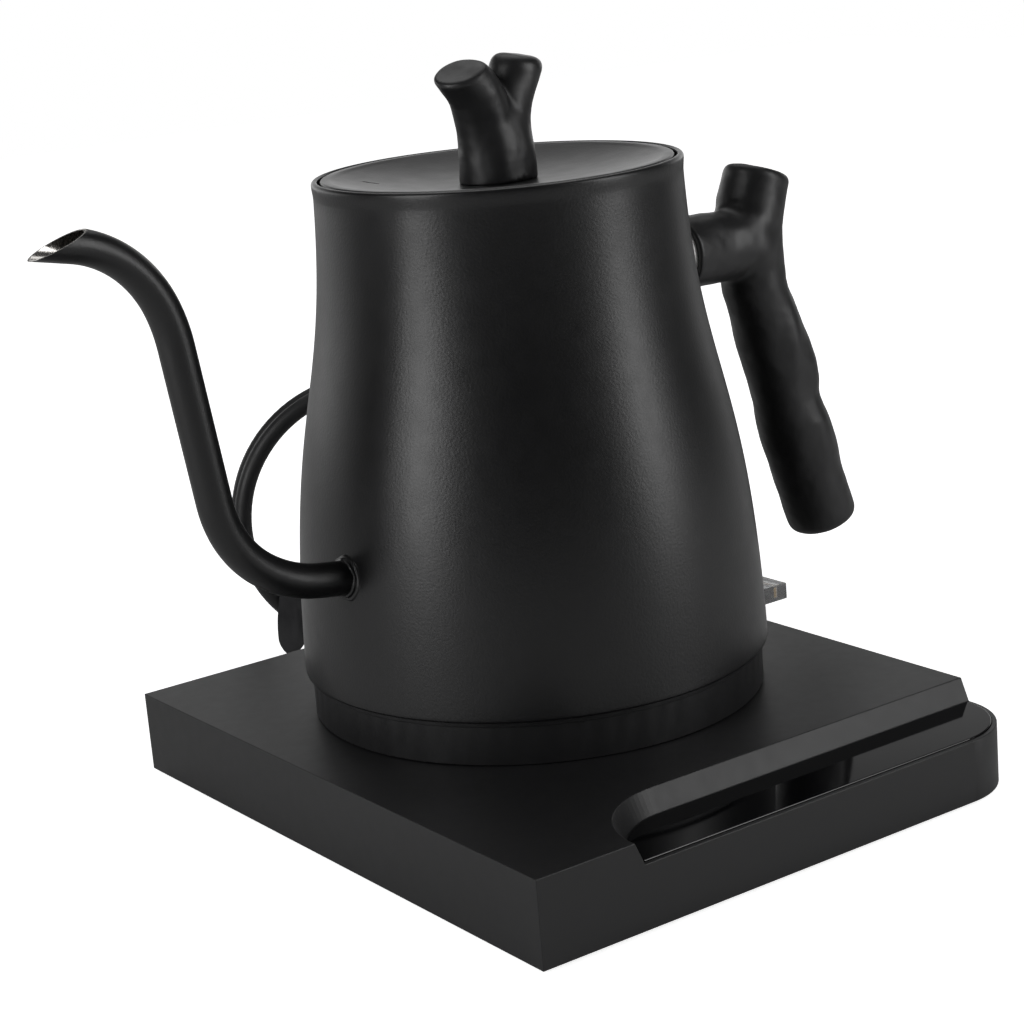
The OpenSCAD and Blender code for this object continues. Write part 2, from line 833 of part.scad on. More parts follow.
module lid_knob() {
    color([0.06, 0.06, 0.06])
    on_kettle() translate([0, 0, rim_z - lid_dish + 0.15])
        difference() {
            union() {
                cylinder(h = crotch_z, r1 = trunk_d / 2, r2 = trunk_d / 2 - 0.6);
                translate([0, 0, crotch_z - 0.1]) cylinder(h = 8, r1 = trunk_d / 2 - 0.6, r2 = trunk_d / 2 - 2);
                branch(-3, [7, -21, 0], 25.5);
                branch(4, [-7, 18.5, 0], 25.3);
            }
            translate([0, 0, -past]) cylinder(h = crotch_z + past, r = 1.9);
        }
}

// One cut branch of the knob, leaning by the given angles
module branch(x, lean, length) {
    translate([x, 0, crotch_z - 2]) rotate(lean)
        cylinder(h = length, r1 = branch_d / 2 - 0.2, r2 = branch_d / 2);
}

module knob_screw() {
    color([0.6, 0.6, 0.62])
    on_kettle() translate([0, 0, lid_z - drum_h]) {
        translate([0, 0, -1.9]) cylinder(h = 1.8, r = 4);
        translate([0, 0, -0.5]) cylinder(h = drum_h + 7, r = 1.8);
    }
}

base_cover();
base_bottom();
base_feet();
base_screws();
touch_glass();
touch_board();
power_board();
transformer();
relay();
buzzer();
base_connector();
connector_contacts();
strain_relief();
cord_inner();
cord_clamp();
clamp_screws();
cord_lead();
cord_coil();
cord_run();
cord_tie();
plug();
plug_pins();
pin_cover();
kettle_connector();
kettle_contacts();
kettle_shell();
kettle_floor();
heating_element();
temperature_probe();
thermal_cutout();
kettle_skirt();
skirt_screws();
spout();
spout_collar();
handle_boss();
handle_spacer();
handle_bolt();
handle();
lid_plate();
lid_drum();
lid_seal();
lid_knob();
knob_screw();
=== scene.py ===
import math

import bmesh
import bpy
import numpy as np
from mathutils import Matrix, Vector, noise


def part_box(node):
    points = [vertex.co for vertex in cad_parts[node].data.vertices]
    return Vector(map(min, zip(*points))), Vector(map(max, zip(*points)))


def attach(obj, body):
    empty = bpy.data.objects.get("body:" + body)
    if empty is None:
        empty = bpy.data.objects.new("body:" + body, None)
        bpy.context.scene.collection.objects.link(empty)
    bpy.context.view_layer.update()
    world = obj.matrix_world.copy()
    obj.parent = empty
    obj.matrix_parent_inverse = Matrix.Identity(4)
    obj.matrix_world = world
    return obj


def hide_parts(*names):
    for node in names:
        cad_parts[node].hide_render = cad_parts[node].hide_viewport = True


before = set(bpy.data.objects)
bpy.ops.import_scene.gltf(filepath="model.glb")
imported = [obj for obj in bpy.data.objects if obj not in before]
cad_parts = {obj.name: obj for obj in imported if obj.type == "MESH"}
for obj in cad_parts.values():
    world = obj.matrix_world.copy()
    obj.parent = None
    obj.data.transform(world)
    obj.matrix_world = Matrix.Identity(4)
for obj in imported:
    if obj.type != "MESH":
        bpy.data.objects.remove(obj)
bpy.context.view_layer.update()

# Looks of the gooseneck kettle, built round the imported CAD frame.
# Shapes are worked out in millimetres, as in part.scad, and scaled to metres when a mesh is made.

MM = 0.001


def corners(node):
    """Lowest and highest corner of a CAD node, in millimetres."""
    low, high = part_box(node)
    return np.array(low) / MM, np.array(high) / MM


def middle(node):
    low, high = corners(node)
    return (low + high) / 2


# ---------- places, from the CAD ----------

AXIS = middle("kettle_skirt") * [1, 1, 0]
bolt_arm = middle("handle_bolt") - AXIS
TURN = math.atan2(bolt_arm[1], bolt_arm[0])
STEM_Z = bolt_arm[2]
SHELL_LOW, SHELL_HIGH = corners("kettle_shell")
FOOT_R = (SHELL_HIGH[0] - SHELL_LOW[0]) / 2
RIM_Z = SHELL_HIGH[2]
LID_LOW, LID_HIGH = corners("lid_plate")
LID_R = (LID_HIGH[0] - LID_LOW[0]) / 2
BASE_BACK = corners("base_cover")[1][1]


# ---------- camera ----------

CAMERA_LENS = 86.4
CAMERA_TARGET = np.array([3.3, 16.7, 83.8])
CAMERA_DISTANCE = 755.9
CAMERA_AZIMUTH = math.radians(-34.6)
CAMERA_RISE = math.radians(14.8)
CAMERA_ROLL = math.radians(-4.8)

back = Vector((math.sin(CAMERA_AZIMUTH) * math.cos(CAMERA_RISE),
               -math.cos(CAMERA_AZIMUTH) * math.cos(CAMERA_RISE),
               math.sin(CAMERA_RISE)))
level = Vector((math.cos(CAMERA_AZIMUTH), math.sin(CAMERA_AZIMUTH), 0))
upright = back.cross(level)
right = math.cos(CAMERA_ROLL) * level + math.sin(CAMERA_ROLL) * upright
up = math.cos(CAMERA_ROLL) * upright - math.sin(CAMERA_ROLL) * level

camera = bpy.data.objects.new("camera", bpy.data.cameras.new("camera"))
camera.data.lens = CAMERA_LENS
camera.matrix_world = Matrix.Translation(Vector(CAMERA_TARGET * MM) + back * CAMERA_DISTANCE * MM) @ (
    Matrix((right, up, back)).transposed().to_4x4())
bpy.context.scene.collection.objects.link(camera)
bpy.context.scene.camera = camera
bpy.context.scene.view_settings.view_transform = "Standard"


# ---------- making meshes ----------

def unit(v):
    return v / np.linalg.norm(v)


def catmull(points, steps):
    """A smooth line through all the points, with that many steps between neighbours."""
    p = [np.array(q, float) for q in points]
    p = [2 * p[0] - p[1], *p, 2 * p[-1] - p[-2]]
    line = []
    for a, b, c, d in zip(p, p[1:], p[2:], p[3:]):
        for t in np.arange(steps) / steps:
            line.append(0.5 * (2 * b + (c - a) * t + (2 * a - 5 * b + 4 * c - d) * t * t
                               + (3 * b - a - 3 * c + d) * t ** 3))
    return np.array([*line, p[-2]])


def on_kettle(points):
    """From the kettle's own frame, with its axis at the origin and +X to the handle, to the row's frame."""
    p = np.array(points, float).reshape(-1, 3)
    c, s = math.cos(TURN), math.sin(TURN)
    return np.column_stack([p[:, 0] * c - p[:, 1] * s, p[:, 0] * s + p[:, 1] * c, p[:, 2]]) + AXIS


def add_object(name, mesh):
    piece = bpy.data.objects.new(name, mesh)
    bpy.context.scene.collection.objects.link(piece)
    return piece


def mesh_piece(name, points, faces, materials=(), pick=None, sharp=35):
    """A piece from points in millimetres.

    pick gives each face's material, and edges over the sharp angle stay crisp."""
    mesh = bpy.data.meshes.new(name)
    mesh.from_pydata([tuple(p) for p in np.array(points, float) * MM], [], faces)
    for m in materials:
        mesh.materials.append(m)
    if pick is not None:
        mesh.polygons.foreach_set("material_index", pick)
    tidy_mesh(mesh, sharp)
    return add_object(name, mesh)


def tidy_mesh(mesh, sharp=35):
    bm = bmesh.new()
    bm.from_mesh(mesh)
    bmesh.ops.recalc_face_normals(bm, faces=bm.faces)
    bm.to_mesh(mesh)
    bm.free()
    mesh.shade_smooth()
    mesh.set_sharp_from_angle(angle=math.radians(sharp))


def ring_faces(rows, sides, closed):
    """Quads between rows of points round an axis; closed joins the last row to the first."""
    faces = []
    for i in range(rows if closed else rows - 1):
        a, b = i * sides, (i + 1) % rows * sides
        faces += [(a + k, b + k, b + (k + 1) % sides, a + (k + 1) % sides) for k in range(sides)]
    return faces


def lathe(name, profile, materials, finish=None, sides=192):
    """A closed profile of (distance, height) turned round the kettle's axis.

    finish gives each row's material."""
    angles = 2 * math.pi * np.arange(sides) / sides
    rows = [np.column_stack([r * np.cos(angles), r * np.sin(angles), np.full(sides, z)]) for r, z in profile]
    pick = None if finish is None else np.repeat(finish, sides).tolist()
    return mesh_piece(name, on_kettle(np.concatenate(rows)), ring_faces(len(profile), sides, True),
                      materials, pick)


def arc(centre, r, start, stop, steps=6):
    """Points of (distance, height) on an arc, between two angles in degrees."""
    return [(centre[0] + r * math.cos(math.radians(a)), centre[1] + r * math.sin(math.radians(a)))
            for a in np.linspace(start, stop, steps + 1)]


def tube_rings(line, radii, sides, side_way):
    """Rings of points round a line; side_way is a direction that the line never follows."""
    line = np.array(line, float)
    ahead = np.gradient(line, axis=0)
    angles = 2 * math.pi * np.arange(sides) / sides
    rings = []
    for p, t, r in zip(line, ahead, radii):
        t = unit(t)
        a = unit(np.cross(side_way, t))
        b = np.cross(t, a)
        rings.append(p + r * (np.outer(np.cos(angles), a) + np.outer(np.sin(angles), b)))
    return np.concatenate(rings)


def tube_mesh(line, radii, sides, side_way):
    """Points and faces of a closed solid tube."""
    faces = ring_faces(len(line), sides, False)
    last = (len(line) - 1) * sides
    faces += [tuple(range(sides - 1, -1, -1)), tuple(range(last, last + sides))]
    return tube_rings(line, radii, sides, side_way), faces


def rounded(piece, width, segments=3, angle=30):
    """Rounds a piece's edges by a width in millimetres."""
    bevel = piece.modifiers.new("edges", "BEVEL")
    bevel.width = width * MM
    bevel.segments = segments
    bevel.limit_method = "ANGLE"
    bevel.angle_limit = math.radians(angle)
    bevel.harden_normals = True
    return piece


# ---------- materials ----------

class Nodes:
    """A node material under construction: the shader and short ways to feed it."""

    def __init__(self, name, colour, roughness, **sockets):
        self.made = bpy.data.materials.new(name)
        self.made.use_nodes = True
        self.tree = self.made.node_tree
        self.shader = self.tree.nodes["Principled BSDF"]
        self.shader.inputs["Base Color"].default_value = (*colour, 1)
        self.shader.inputs["Roughness"].default_value = roughness
        for socket, value in sockets.items():
            self.shader.inputs[socket.replace("_", " ")].default_value = value
        self.coordinates = self.tree.nodes.new("ShaderNodeTexCoord").outputs["Object"]
        self.height = None

    def noise(self, size, stretch=(1, 1, 1), detail=3.0, rough=0.5):
        """Noise with features of about a size in millimetres, drawn out along the stretched axes."""
        mapping = self.tree.nodes.new("ShaderNodeMapping")
        mapping.inputs["Scale"].default_value = [1 / s for s in stretch]
        node = self.tree.nodes.new("ShaderNodeTexNoise")
        node.inputs["Scale"].default_value = 1 / (size * MM)
        node.inputs["Detail"].default_value = detail
        node.inputs["Roughness"].default_value = rough
        self.tree.links.new(self.coordinates, mapping.inputs["Vector"])
        self.tree.links.new(mapping.outputs["Vector"], node.inputs["Vector"])
        return node.outputs["Fac"]

    def spread(self, value, low, high):
        """Maps the middle of a noise to a range."""
        node = self.tree.nodes.new("ShaderNodeMapRange")
        node.inputs["From Min"].default_value = 0.3
        node.inputs["From Max"].default_value = 0.7
        node.inputs["To Min"].default_value = low
        node.inputs["To Max"].default_value = high
        self.tree.links.new(value, node.inputs["Value"])
        return node.outputs["Result"]

    def roughness(self, value, low, high):
        self.tree.links.new(self.spread(value, low, high), self.shader.inputs["Roughness"])
        return self

    def colours(self, value, first, second):
        """The colour goes from one to the other with a value."""
        node = self.tree.nodes.new("ShaderNodeMix")
        node.data_type = "RGBA"
        node.inputs["A"].default_value = (*first, 1)
        node.inputs["B"].default_value = (*second, 1)
        self.tree.links.new(self.spread(value, 0, 1), node.inputs["Factor"])
        self.tree.links.new(node.outputs["Result"], self.shader.inputs["Base Color"])
        return self

    def bump(self, value, depth):
        """Adds relief with a depth in millimetres, on top of any before it."""
        node = self.tree.nodes.new("ShaderNodeBump")
        node.inputs["Strength"].default_value = 1
        node.inputs["Distance"].default_value = depth * MM
        self.tree.links.new(value, node.inputs["Height"])
        if self.height is not None:
            self.tree.links.new(self.height, node.inputs["Normal"])
        self.height = node.outputs["Normal"]
        self.tree.links.new(self.height, self.shader.inputs["Normal"])
        return self


def shade(colour, share):
    return tuple(c * share for c in colour)


def plain(name, colour, roughness, grain=0.8, relief=0.01, vary=0.15, **sockets):
    """Moulded or machined stuff: a fine relief, and roughness and colour that vary a little."""
    m = Nodes(name, colour, roughness, **sockets)
    m.colours(m.noise(grain * 18), shade(colour, 1 - vary), shade(colour, 1 + vary))
    m.roughness(m.noise(grain * 9), roughness * (1 - vary), roughness * (1 + vary))
    m.bump(m.noise(grain), relief)
    return m.made


def make_materials():
    made = {
        "base_plastic": plain("base_plastic", (0.0103, 0.0103, 0.011), 0.46, grain=0.45, relief=0.008,
                              vary=0.04),
        "foot_rubber": plain("foot_rubber", (0.03, 0.03, 0.03), 0.8, grain=0.5, relief=0.03),
        "screw_steel": plain("screw_steel", (0.55, 0.55, 0.57), 0.3, grain=0.3, relief=0.004,
                             Metallic=1),
        "circuit_board": plain("circuit_board", (0.02, 0.13, 0.05), 0.35, grain=1.2, relief=0.02),
        "transformer_tape": plain("transformer_tape", (0.6, 0.4, 0.05), 0.35, grain=1.5, relief=0.04),
        "relay_case": plain("relay_case", (0.02, 0.09, 0.35), 0.3, grain=0.5),
        "inner_plastic": plain("inner_plastic", (0.02, 0.02, 0.021), 0.42, grain=0.4, relief=0.008),
        "contact_brass": plain("contact_brass", (0.7, 0.46, 0.16), 0.22, grain=0.6, relief=0.004,
                               Metallic=1),
        "plug_plastic": plain("plug_plastic", (0.014, 0.014, 0.015), 0.38, grain=0.35, relief=0.008),
        "element_metal": plain("element_metal", (0.4, 0.4, 0.42), 0.5, grain=1, relief=0.03, Metallic=1),
        "seal_silicone": plain("seal_silicone", (0.62, 0.62, 0.6), 0.45, grain=0.6, relief=0.01,
                               Subsurface_Weight=0.3, Subsurface_Scale=0.002),
    }

    gloss = Nodes("touch_gloss", (0.003, 0.003, 0.0035), 0.05)
    gloss.roughness(gloss.noise(14, detail=5, rough=0.7), 0.035, 0.075)
    made["touch_gloss"] = gloss.made

    coat = Nodes("black_coat", (0.0045, 0.0045, 0.005), 0.36)
    coat.colours(coat.noise(30), (0.0042, 0.0042, 0.0046), (0.0048, 0.0048, 0.0053))
    coat.roughness(coat.noise(6, detail=5), 0.34, 0.38)
    coat.bump(coat.noise(0.8, detail=1), 0.04)
    made["black_coat"] = coat.made

    steel = Nodes("bare_steel", (0.66, 0.64, 0.61), 0.24, Metallic=1)
    steel.roughness(steel.noise(0.5, stretch=(1, 1, 14)), 0.18, 0.3)
    steel.bump(steel.noise(0.22, stretch=(1, 1, 20)), 0.002)
    made["bare_steel"] = steel.made

    # Painted reflection: the handle's spacer gets a near-white colour that stands in for the white backdrop
    # its polished steel would mirror in this light
    painted_reflection = Nodes("painted_reflection_steel", (0.95, 0.94, 0.92), 0.38, Metallic=0.25)
    painted_reflection.roughness(painted_reflection.noise(0.5, stretch=(14, 1, 1)), 0.36, 0.48)
    painted_reflection.bump(painted_reflection.noise(0.25, stretch=(20, 1, 1)), 0.002)
    made["painted_reflection_steel"] = painted_reflection.made

    branch = Nodes("branch_black", (0.012, 0.012, 0.0127), 0.45)
    branch.colours(branch.noise(16, detail=4), (0.0105, 0.0105, 0.0112), (0.0135, 0.0135, 0.0142))
    branch.roughness(branch.noise(7, detail=5), 0.38, 0.5)
    branch.bump(branch.noise(0.5, detail=2), 0.008)
    branch.bump(branch.noise(6, stretch=(1, 1, 2.2), detail=2), 0.1)
    made["branch_black"] = branch.made

    rubber = Nodes("cord_rubber", (0.0075, 0.0075, 0.0082), 0.5)
    rubber.roughness(rubber.noise(5, detail=5), 0.46, 0.55)
    rubber.bump(rubber.noise(0.5, detail=2), 0.008)
    made["cord_rubber"] = rubber.made

    strap = Nodes("tie_strap", (0.03, 0.03, 0.032), 0.38)
    strap.roughness(strap.noise(3, detail=4), 0.3, 0.5)
    strap.bump(strap.noise(2.5, stretch=(1, 1, 3), detail=4), 0.15)
    made["tie_strap"] = strap.made

    clear = Nodes("clear_cover", (0.86, 0.87, 0.88), 0.14, Transmission_Weight=0.9, IOR=1.45)
    clear.roughness(clear.noise(2.5), 0.08, 0.26)
    clear.bump(clear.noise(1.6, stretch=(2.5, 1, 1), detail=3), 0.12)
    made["clear_cover"] = clear.made
    return made


MATERIALS = make_materials()
for cad_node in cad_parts.values():
    for used in cad_node.material_slots:
        used.material = MATERIALS[used.material.name]
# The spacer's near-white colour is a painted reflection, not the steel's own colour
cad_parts["handle_spacer"].material_slots[0].material = MATERIALS["painted_reflection_steel"]


def finished(piece, slot, body, *nodes):
    """Gives a piece its body, and hides the CAD nodes that it stands for. The slot is not used."""
    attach(piece, body)
    if nodes:
        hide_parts(*nodes)
    return piece


# ---------- cord ----------

CORD_D = 6.3
COIL_R = 47.3
COIL_CENTRE = middle("cord_coil")
COIL_TURN = math.radians(-20)
COIL_WAY = np.array([math.cos(COIL_TURN), math.sin(COIL_TURN), 0])
COIL_AXIS = np.array([-COIL_WAY[1], COIL_WAY[0], 0])
COIL_TURNS = 2
POINTS_A_TURN = 24
CORD_STEPS = 4
# The free cord starts this far outside the back wall, inside the strain relief
CORD_START = 8
UP = np.array([0, 0, 1])
LEAD_ROUTE = [[3, 134.6, 12], [3.6, 140.6, 11.7], [5.4, 146.2, 10.9], [8.4, 151.3, 9.7], [12.4, 155.6, 8.3],
              [17.2, 159, 6.8], [22.6, 161.5, 5.5], [28.5, 162.8, 4.4], [34.7, 162.6, 3.6], [41, 161.1, 3.3]]
RUN_ROUTE = [[45.4, 172.9, 3.3], [54, 169.9, 3.3], [66, 166.1, 3.3], [79, 163.2, 3.3], [92, 161.7, 3.3],
             [104, 161.1, 3.3], [115, 161, 3.4], [125.5, 160.9, 3.8], [133, 159.8, 4.4], [139.6, 157, 5.2],
             [145.2, 152.8, 6.2], [149.6, 147, 7.1], [152.4, 140.2, 7.8], [153.5, 133, 8]]
CORD_EXIT = np.array([middle("strain_relief")[0], BASE_BACK, middle("strain_relief")[2]])


def ease(x):
    x = min(max(x, 0), 1)
    return x * x * (3 - 2 * x)


def coil_shift(angle):
    """How far a point of the coil lies along its axis: a diameter per turn, in steps near the bottom."""
    step = 90
    turn, a = divmod(angle, 360)
    half = 0.5 * ease(a / step) + 0.5 * ease((a - 360 + step) / step)
    return (turn + half - 1) * CORD_D


def coil_points():
    points = []
    for k in range(1, COIL_TURNS * POINTS_A_TURN):
        angle = 360 * k / POINTS_A_TURN
        a = math.radians(angle)
        points.append(COIL_CENTRE + COIL_R * (math.sin(a) * COIL_WAY - math.cos(a) * UP)
                      + coil_shift(angle) * COIL_AXIS)
    return points


def make_cord():
    start = CORD_EXIT + [0, CORD_START, 0]
    route = [start, (start + LEAD_ROUTE[0]) / 2, *LEAD_ROUTE, *coil_points(), *RUN_ROUTE]
    line = catmull(route, CORD_STEPS)
    curve = bpy.data.curves.new("mains_cord", "CURVE")
    curve.dimensions = "3D"
    curve.bevel_depth = CORD_D / 2 * MM
    curve.bevel_resolution = 8
    curve.use_fill_caps = True
    spline = curve.splines.new("POLY")
    spline.points.add(len(line) - 1)
    for point, p in zip(spline.points, line):
        point.co = (*(p * MM), 1)
    curve.materials.append(MATERIALS["cord_rubber"])
    cord = bpy.data.objects.new("mains_cord", curve)
    bpy.context.scene.collection.objects.link(cord)
    length = np.linalg.norm(np.diff(line, axis=0), axis=1).sum()
    print("cord length", round(length, 1))
    return finished(cord, "cord_rubber", "base", "cord_lead", "cord_coil", "cord_run"), length


mains_cord, cord_length = make_cord()


# ---------- kettle body, skirt and lid ----------

NECK_R = 55.1
SHELL_T = 1.1
RIM_R = 55.4
RIM_IN_R = 53.6
LEDGE_R = 51
LID_DISH = 4.6
LEDGE_Z = RIM_Z - LID_DISH
FOOT_Z = 40.5
FOOT_EDGE = 0.8
RIM_EDGE = 1.1
RIM_IN_EDGE = 0.5
SIDE_STEPS = 64


def side(inset=0.0):
    """The steel body's side from foot to neck, as (distance, height), moved inwards by an inset."""
    a, b = np.array([FOOT_R, 42]), np.array([FOOT_R - 2.1, 125.7])
    c, d = np.array([NECK_R + 1.8, 122]), np.array([NECK_R, 185])
    t = np.linspace(0, 1, SIDE_STEPS + 1)[:, None]
    line = (1 - t) ** 3 * a + 3 * t * (1 - t) ** 2 * b + 3 * t * t * (1 - t) * c + t ** 3 * d
    return [tuple(p) for p in line - [inset, 0]]


def side_radius(z):
    line = np.array(side())
    return np.interp(z, line[:, 1], line[:, 0])


def make_shell():
    outer = [(FOOT_R - 0.9, FOOT_Z), *arc((FOOT_R - FOOT_EDGE, 41.3), FOOT_EDGE, -90, 0), *side()]
    neck_z = outer[-1][1]
    flare = [(NECK_R + (RIM_R - NECK_R) * ease(t), neck_z + (RIM_Z - RIM_EDGE - neck_z) * t)
             for t in (0.2, 0.4, 0.6, 0.8)]
    rim = [*flare,
           *arc((RIM_R - RIM_EDGE, RIM_Z - RIM_EDGE), RIM_EDGE, 0, 90, 8),
           *arc((RIM_IN_R + RIM_IN_EDGE, RIM_Z - RIM_IN_EDGE), RIM_IN_EDGE, 90, 180, 5)]
    inner = [(RIM_IN_R, LEDGE_Z + 1.4), (RIM_IN_R - 0.4, LEDGE_Z + 1), (LEDGE_R, LEDGE_Z + 1),
             (LEDGE_R - 0.3, LEDGE_Z + 0.7), (LEDGE_R, LEDGE_Z), (NECK_R - SHELL_T, LEDGE_Z - 0.6),
             *side(SHELL_T)[::-1], (FOOT_R - SHELL_T, FOOT_Z)]
    coated = len(outer) + len(rim)
    profile = outer + rim + inner
    finish = [0] * coated + [1] * (len(profile) - coated)
    piece = lathe("kettle_body", profile, [MATERIALS["black_coat"], MATERIALS["bare_steel"]], finish)
    return finished(piece, "black_coat", "kettle", "kettle_shell")


LID_T = 1
LID_BORDER = 4
LID_EDGE = 0.8
SCREW_HOLE = 2.2
DISH_RISE = 4.2
DISH_POWER = 2.4


def dish(x):
    """Height of the lid's dished top at a distance from its middle."""
    return RIM_Z - LID_DISH + DISH_RISE * (x / (LID_R - LID_BORDER)) ** DISH_POWER


def make_lid():
    low = LID_LOW[2]
    across = np.linspace(SCREW_HOLE, LID_R - LID_BORDER, 40)
    top = [(x, dish(x)) for x in across]
    edge = [(LID_R - 3.2, RIM_Z - 0.12), (LID_R - 2.6, RIM_Z),
            *arc((LID_R - LID_EDGE, RIM_Z - LID_EDGE), LID_EDGE, 90, 0),
            (LID_R, low), (LID_R - LID_BORDER, low)]
    under = [(x, dish(x) - LID_T) for x in across[::-1]]
    profile = top + edge + under
    piece = lathe("lid_top", profile, [MATERIALS["black_coat"]])
    cut_slot(piece)
    return finished(piece, "black_coat", "lid", "lid_plate")


VENT_ANGLE = math.radians(138)
VENT_R = 37.8
VENT_TURN = math.radians(62)
VENT_SIZE = [0.9, 6]


def turned(x, y, angle):
    return x * math.cos(angle) - y * math.sin(angle), x * math.sin(angle) + y * math.cos(angle)


def cut_slot(piece):
    """Cuts the steam slot right through the lid's top, with rounded ends."""
    r = VENT_SIZE[0] / 2
    half = VENT_SIZE[1] / 2 - r
    outline = [(s * r * math.cos(a), s * (half + r * math.sin(a)))
               for s in (1, -1) for a in np.linspace(0, math.pi, 9)]
    rows = []
    for z in (RIM_Z - 8, RIM_Z + 6):
        for x, y in outline:
            x, y = turned(x, y, VENT_TURN)
            rows.append((*turned(x + VENT_R, y, VENT_ANGLE), z))
    n = len(outline)
    faces = ring_faces(2, n, False) + [tuple(range(n - 1, -1, -1)), tuple(range(n, 2 * n))]
    cutter = mesh_piece("slot_cutter", on_kettle(rows), faces)
    cut = piece.modifiers.new("slot", "BOOLEAN")
    cut.object = cutter
    cut.operation = "DIFFERENCE"
    cut.solver = "EXACT"
    bake(piece)
    bpy.data.objects.remove(cutter)


def bake(piece):
    """Applies a piece's modifiers to its mesh."""
    bpy.context.view_layer.update()
    made = piece.evaluated_get(bpy.context.evaluated_depsgraph_get())
    mesh = bpy.data.meshes.new_from_object(made)
    piece.modifiers.clear()
    old, piece.data = piece.data, mesh
    bpy.data.meshes.remove(old)
    mesh.name = piece.name
    return piece


make_shell()
make_lid()


# ---------- spout ----------

SPOUT_START = [56, 77.5]
SPOUT_RISE = 10
SPOUT_PARTS = [("go", 24), ("bend", 44, 26), ("bend", 34, 46), ("go", 45.6), ("bend", 48, -13.5),
               ("bend", 35, -56.5), ("go", 20)]
SPOUT_R = 5.15
SPOUT_T = 0.8
SPOUT_TAPER = 60
SPOUT_THINNER = 0.4
SPOUT_SIDES = 64
# The tube is shown from this far along, where it is still inside the wall
SPOUT_HIDDEN = 10
MOUTH = [150, 190.5]
MOUTH_TILT = math.radians(18.4)


def way(angle):
    """Direction in the spout's plane, at an angle in degrees above level."""
    return np.array([math.cos(math.radians(angle)), math.sin(math.radians(angle))])


def pipe_line(spacing=1.2):
    """Points of (distance, height) down the chain of straights and bends, at an even spacing."""
    p, heading = np.array(SPOUT_START, float), SPOUT_RISE
    line = [p]
    for kind, size, *bend in SPOUT_PARTS:
        if kind == "go":
            steps = math.ceil(size / spacing)
            line += [p + way(heading) * size * k / steps for k in range(1, steps + 1)]
        else:
            angle = bend[0]
            s = math.copysign(1, angle)
            centre = p + s * size * way(heading + 90)
            steps = math.ceil(size * math.radians(abs(angle)) / spacing)
            line += [centre - s * size * way(heading + 90 + angle * k / steps) for k in range(1, steps + 1)]
            heading += angle
        p = line[-1]
    return np.array(line)


def spout_point(p):
    """From the spout's plane to the kettle's frame: it points away from the handle."""
    return np.array([-p[0], 0, p[1]])


def make_spout():
    line = np.array([spout_point(p) for p in pipe_line()])
    from_start = np.linalg.norm(line[:, [0, 2]] - spout_point(SPOUT_START)[[0, 2]], axis=1)
    line = line[from_start > SPOUT_HIDDEN]
    taper = np.array([SPOUT_THINNER * ease((k - len(line)) / SPOUT_TAPER + 1)
                      for k in range(len(line))])
    bm = bmesh.new()
    for layer, radii in enumerate((SPOUT_R - taper, SPOUT_R - SPOUT_T)):
        points = tube_rings(line, np.broadcast_to(radii, len(line)), SPOUT_SIDES, [0, 1, 0])
        made = [bm.verts.new(p) for p in points]
        for f in ring_faces(len(line), SPOUT_SIDES, False):
            bm.faces.new([made[i] for i in f]).material_index = layer
    normal = Vector((-math.sin(MOUTH_TILT), 0, math.cos(MOUTH_TILT)))
    at = Vector(spout_point(MOUTH))
    whole = [g for kind in (bm.verts, bm.edges, bm.faces) for g in kind]
    bmesh.ops.bisect_plane(bm, geom=whole, plane_co=at, plane_no=normal, clear_outer=True)
    rims = [e for e in bm.edges if e.is_boundary]
    at_mouth = [e for e in rims if all(abs((v.co - at).dot(normal)) < 0.01 for v in e.verts)]
    at_root = [e for e in rims if e not in set(at_mouth)]
    for loop in (at_mouth, at_root):
        for f in bmesh.ops.bridge_loops(bm, edges=loop)["faces"]:
            f.material_index = 1
    points = on_kettle([v.co for v in bm.verts])
    for v, p in zip(bm.verts, points):
        v.co = Vector(p * MM)
    mesh = bpy.data.meshes.new("spout_tube")
    bm.to_mesh(mesh)
    bm.free()
    mesh.materials.append(MATERIALS["black_coat"])
    mesh.materials.append(MATERIALS["bare_steel"])
    tidy_mesh(mesh, 40)
    return finished(add_object("spout_tube", mesh), "black_coat", "kettle", "spout")


